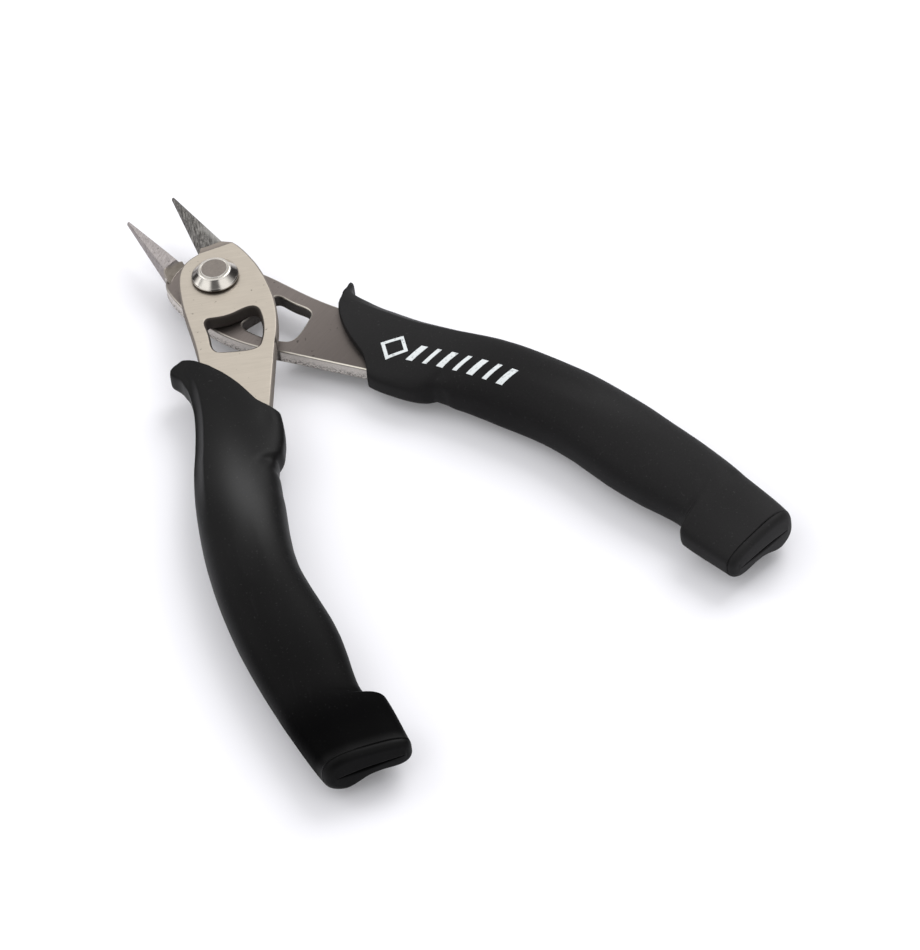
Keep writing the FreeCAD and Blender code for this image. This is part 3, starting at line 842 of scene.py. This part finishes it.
def blade_finish(s, closed, style):
    """Ground face, scratched two ways, with pits. Returns its colour and relief."""
    light, dark = style["blade_light"], style["blade_dark"]
    first_turn, second_turn = (style["turn"] + turn for turn in style["scratch_turns"])
    scratch = s.noise(s.coords(first_turn, (650, 5600, 900)), scale=1.0, detail=6,
                      roughness=0.72, distortion=0.9)
    cross = s.noise(s.coords(second_turn, (620, 6400, 900)), scale=1.0, detail=5,
                    roughness=0.7, distortion=0.8)
    pits = s.ramp(s.noise(closed, scale=1700, detail=4, roughness=0.65), [(0.34, 1), (0.43, 0)])
    pits = s.mul(pits, s.ramp(s.noise(closed, scale=260), [(0.42, 0.15), (0.58, 1)]))
    colour = s.mix(s.ramp(scratch, [(0.44, 0), (0.62, 1)]), dark, light)
    colour = s.tint(colour, s.ramp(cross, [(0.60, 0), (0.70, 1)]), amount=style["cross"],
                    to=scaled(light, 1.9))
    colour = s.tint(colour, pits, amount=0.8, to=scaled(dark, 0.22))
    return colour, s.vary(scratch, pits, by=-1.2)


def blade_strip(s, colour, x, y):
    """Lighter strip along the back of the front blade near its root: painted light on the narrow
    ground facet there.
    """
    back_x = s.sub(0.00465, s.mul(s.sub(y, 0.0085), 0.285))
    strip = s.mul(s.below(s.sub(back_x, x), at=0.0011, soft=0.0010),
                  s.below(y, at=0.0135, soft=0.0030))
    return s.tint(colour, strip, amount=0.75, to=(0.44, 0.43, 0.41))


def steel(half):
    """Brushed stamped plate with a ground, scratched blade, coloured by place."""
    style = STEEL[half]
    material, s, bsdf = new_material(f"{half}_steel_finish")
    closed = s.coords(style["turn"])
    x, y, z = s.separate(closed)
    # fine grain runs across the stamping
    grain = s.coords(style["turn"] + style["grain_turn"], (260, 7000, 900))
    streak = s.noise(grain, scale=1.0, detail=5, roughness=0.62)
    normal = s.node("ShaderNodeTexCoord").outputs["Normal"]
    facing = s.math("ABSOLUTE", s.separate(normal)[2])
    colour = plate_colour(s, closed, streak, style)
    if half == "rear":
        colour, upright = rear_walls(s, colour, y, z, facing, style)
    else:
        colour, upright = front_walls(s, colour, facing)

    blade_edge = s.vary(y, s.noise(closed, scale=600, detail=2), by=0.0001)
    blade = s.above(blade_edge, at=style["blade_from"], soft=0.0001)
    blade_colour, relief = blade_finish(s, closed, style)
    if half == "front":
        blade_colour = blade_strip(s, blade_colour, x, y)
    colour = s.mix(blade, colour, blade_colour)
    if half == "rear":
        # stained ramp block at the blade's root
        block = s.mul(s.band(y, low=0.0066, high=0.0089, soft=0.0002),
                      s.above(z, at=0.00365, soft=0.00008))
        stain = s.mix(s.noise(closed, scale=900, detail=4, roughness=0.6),
                      (0.17, 0.146, 0.122), (0.46, 0.415, 0.365))
        colour = s.mix(block, colour, stain)
        unmetallic = s.mul(block, 0.75)
    else:
        # painted shade on the hollow ramp running up to the blade
        ramp = s.mul(s.band(y, low=0.0070, high=0.00855, soft=0.0004),
                     s.above(x, at=-0.0004, soft=0.0003))
        colour = s.tint(colour, ramp, amount=0.65, to=(0.24, 0.205, 0.18))
        unmetallic = s.mul(upright, 0.94)
    # painted shade: the window's inner walls are made near black
    window = s.mul(s.band(x, *style["window_x"], soft=0.0002), s.band(y, *WINDOW_Y, soft=0.0002))
    colour = s.tint(colour, s.mul(upright, window), amount=0.9, to=(0.030, 0.025, 0.022))

    roughness = s.vary(0.30, streak, by=0.16)
    roughness = s.vary(roughness, blade, by=0.06)
    brushed = s.bump(streak, strength=0.16, distance=0.00003)
    scratched = s.bump(s.mul(relief, blade), strength=0.35, distance=0.00005, normal=brushed)
    rounded = s.node("ShaderNodeBevel", {"Radius": 0.00014, "Normal": scratched}, samples=4)
    s.fill(bsdf, {
        "Base Color": colour,
        "Metallic": s.sub(1.0, unmetallic),
        "Specular IOR Level": s.sub(0.5, s.mul(unmetallic, 0.46)),
        "Roughness": s.vary(roughness, upright, by=0.24),
        "Normal": rounded.outputs[0]})
    return material


# ---------------------------------------------------------------- pivot and spring materials
def polished():
    """Cap washer: turned rings, painted dark reflections on its flank and painted shade at its foot.
    """
    front_angle = math.radians(-123.2)
    ca, sa = math.cos(front_angle), math.sin(front_angle)
    material, s, bsdf = new_material("polished_cap_finish")
    place = s.coords()
    x, y, z = s.separate(place)
    radius = s.radius(x, y)
    rings = s.function("SINE", s.mul(radius, 42000.0))
    smear = s.noise(place, scale=500, detail=4, roughness=0.6)
    # angle away from the front direction, either way round
    toward = s.add(s.mul(x, ca), s.mul(y, sa))
    aside = s.sub(s.mul(y, ca), s.mul(x, sa))
    angle = s.math("ABSOLUTE", s.math("ARCTAN2", aside, toward))
    angle = s.vary(angle, s.sub(smear, 0.5), by=0.25)
    flank = s.band(radius, low=0.00280, high=0.00405, soft=0.00010)
    # painted reflections: the flank is darkened at its sides and in its middle, by angle from the
    # front direction
    sides = s.mul(s.band(angle, low=1.02, high=1.95, soft=0.20), flank)
    middle = s.mul(s.below(angle, at=0.20, soft=0.12), flank)
    # painted shade: the rim's foot is darkened where it meets the plate
    rim_shade = s.below(z, at=0.00662, soft=0.00010)
    colour = s.mix(smear, (0.55, 0.52, 0.48), (0.72, 0.69, 0.64))
    colour = s.tint(colour, sides, amount=0.80, to=(0.10, 0.088, 0.080))
    colour = s.tint(colour, middle, amount=0.62, to=(0.12, 0.11, 0.10))
    colour = s.tint(colour, rim_shade, amount=0.92, to=(0.045, 0.033, 0.026))
    ringed = s.bump(rings, strength=0.05, distance=0.00001)
    s.fill(bsdf, {
        "Base Color": colour,
        "Metallic": 1.0,
        "Roughness": s.vary(s.vary(0.10, rim_shade, by=0.3), smear, by=0.14),
        "Normal": s.bump(s.noise(place, scale=2200, roughness=0.6), strength=0.05,
                         distance=0.00003, normal=ringed)})
    return material


def rivet_finish():
    """Dark grained metal with a painted highlight ring at its rim."""
    material, s, bsdf = new_material("rivet_finish")
    place = s.coords()
    x, y, _ = s.separate(place)
    grain = s.noise(place, scale=2400, detail=5, roughness=0.65)
    # painted highlight: a bright ring at the rim of the rivet's end
    ring = s.band(s.radius(x, y), low=0.00216, high=0.0025, soft=0.00005)
    colour = s.mix(grain, (0.12, 0.105, 0.095), (0.27, 0.24, 0.215))
    colour = s.tint(colour, s.noise(place, scale=700), amount=0.3, to=(0.30, 0.27, 0.24))
    s.fill(bsdf, {
        "Base Color": s.tint(colour, ring, amount=0.8, to=(0.78, 0.76, 0.72)),
        "Metallic": 0.9,
        "Roughness": s.vary(0.36, grain, by=0.2),
        "Normal": s.bump(grain, strength=0.18, distance=0.00005)})
    return material


def spring_finish():
    material, s, bsdf = new_material("spring_finish")
    grain = s.noise(s.coords(), scale=1800)
    s.fill(bsdf, {
        "Base Color": s.mix(grain, (0.42, 0.40, 0.37), (0.62, 0.60, 0.57)),
        "Metallic": 1.0,
        "Roughness": s.vary(0.25, grain, by=0.15)})
    return material


def assign(material, *objects):
    for ob in objects:
        ob.data.materials.clear()
        ob.data.materials.append(material)


assign(rubber("left"), left, nodes["left_grip"])
assign(rubber("right"), right, nodes["right_grip"])
assign(ink(), mark)
assign(steel("front"), nodes["front_half"])
assign(steel("rear"), nodes["rear_half"])
assign(rivet_finish(), nodes["pivot_rivet"])
assign(polished(), nodes["pivot_cap_washer"])
assign(spring_finish(), nodes["return_spring"], spring)


# ---------------------------------------------------------------- table
TABLE_HALF = 3.0           # m
TABLE_GAP = 0.00002        # m below the grip


def build_table():
    h = TABLE_HALF
    mesh = bpy.data.meshes.new("table_top")
    mesh.from_pydata([(-h, -h, 0), (h, -h, 0), (h, h, 0), (-h, h, 0)], [], [(0, 1, 2, 3)])
    table = bpy.data.objects.new("table_top", mesh)
    bpy.context.scene.collection.objects.link(table)
    table.location.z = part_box("left_grip")[0].z - TABLE_GAP
    material, s, bsdf = new_material("table_white")
    s.fill(bsdf, {
        "Base Color": s.mix(s.noise(s.coords(), scale=3, detail=2),
                            (0.750, 0.747, 0.782), (0.765, 0.763, 0.797)),
        "Roughness": 0.6,
        "Specular IOR Level": 0.25,
        "Emission Color": (1, 1, 1, 1),
        "Emission Strength": 0.11})
    mesh.materials.append(material)


build_table()


# ---------------------------------------------------------------- camera
ELEVATION, ROLL = math.radians(45.47), math.radians(-8.0)
VIEW_TURN = -27.48                             # of the whole view about z, degrees
AIM = np.array([35.834, -51.409, 0.0])         # point looked at before that turn, mm
DISTANCE = 967.74                              # mm
SENSOR_WIDTH, FOCAL_LENGTH = 36.0, 234.7826087         # mm

back = np.array([0, -math.cos(ELEVATION), math.sin(ELEVATION)])
level_right = np.array([1.0, 0, 0])
level_up = np.cross(level_right, -back)
view_right = turned(math.cos(ROLL) * level_right + math.sin(ROLL) * level_up, VIEW_TURN)
view_up = turned(-math.sin(ROLL) * level_right + math.cos(ROLL) * level_up, VIEW_TURN)


def build_camera():
    data = bpy.data.cameras.new("photo_camera")
    camera = bpy.data.objects.new("photo_camera", data)
    bpy.context.scene.collection.objects.link(camera)
    location = in_row(turned(back * DISTANCE + AIM, VIEW_TURN))
    axes = np.column_stack([view_right, view_up, turned(back, VIEW_TURN), location])
    camera.matrix_world = Matrix(axes.tolist() + [[0, 0, 0, 1]])
    data.sensor_fit = "HORIZONTAL"
    data.sensor_width = SENSOR_WIDTH
    data.lens = FOCAL_LENGTH
    data.clip_start = 0.01
    data.clip_end = 20
    bpy.context.scene.camera = camera


build_camera()


# ---------------------------------------------------------------- lights and world
# level directions as the camera sees them, and the point the lights aim at, m
right_dir = Vector(view_right)
right_dir.z = 0
right_dir.normalize()
away_dir = Vector((0, 0, 1)).cross(right_dir)
light_aim = Vector(turned(AIM, VIEW_TURN) * MM)


def softbox(name, right, away, up, size, size_y, energy):
    data = bpy.data.lights.new(name, "AREA")
    data.shape = "RECTANGLE"
    data.size = size
    data.size_y = size_y
    data.energy = energy
    light = bpy.data.objects.new(name, data)
    bpy.context.scene.collection.objects.link(light)
    light.location = light_aim + right_dir * right + away_dir * away + Vector((0, 0, up))
    light.rotation_euler = (light_aim - light.location).to_track_quat("-Z", "Y").to_euler()


softbox("key_softbox", right=0.40, away=0.50, up=0.70, size=0.60, size_y=0.60, energy=4.5)
softbox("side_softbox", right=-0.80, away=0.25, up=0.60, size=0.50, size_y=0.9, energy=2.2)


def build_world():
    """Pale studio with two bright panels and dark gaps, placed by angle from the camera side."""
    world = bpy.data.worlds.new("studio")
    bpy.context.scene.world = world
    world.use_nodes = True
    s = Shader(world.node_tree)
    output = s.node("ShaderNodeOutputWorld")
    x, y, z = s.separate(s.node("ShaderNodeTexCoord").outputs["Generated"])

    def part_along(direction):
        return s.add(s.mul(x, direction.x), s.mul(y, direction.y))

    angle = s.math("ABSOLUTE",
                   s.math("ARCTAN2", part_along(right_dir), part_along(-away_dir)))
    panels = s.mul(s.band(angle, low=0.46, high=1.34, soft=0.17),
                   s.band(z, low=0.12, high=0.86, soft=0.12))
    dark_middle = s.mul(s.below(angle, at=0.46, soft=0.17), s.below(z, at=0.80, soft=0.14))
    dark_side = s.mul(s.band(angle, low=1.34, high=2.60, soft=0.17),
                      s.below(z, at=0.50, soft=0.20))
    colour = s.ramp(z, [(0.0, (0.60, 0.60, 0.61)), (0.35, (0.88, 0.88, 0.89)), (0.9, 1.02)])
    colour = s.tint(colour, dark_middle, amount=0.90, to=(0.09, 0.09, 0.095))
    colour = s.tint(colour, dark_side, amount=0.90, to=(0.05, 0.05, 0.055))
    colour = s.tint(colour, panels, amount=0.80, to=1.35)
    background = s.node("ShaderNodeBackground", {"Color": colour, "Strength": 1.0})
    s.fill(output, {0: background.outputs[0]})


build_world()
view = bpy.context.scene.view_settings
view.view_transform = "Standard"
view.look = "None"
view.exposure = 0.0
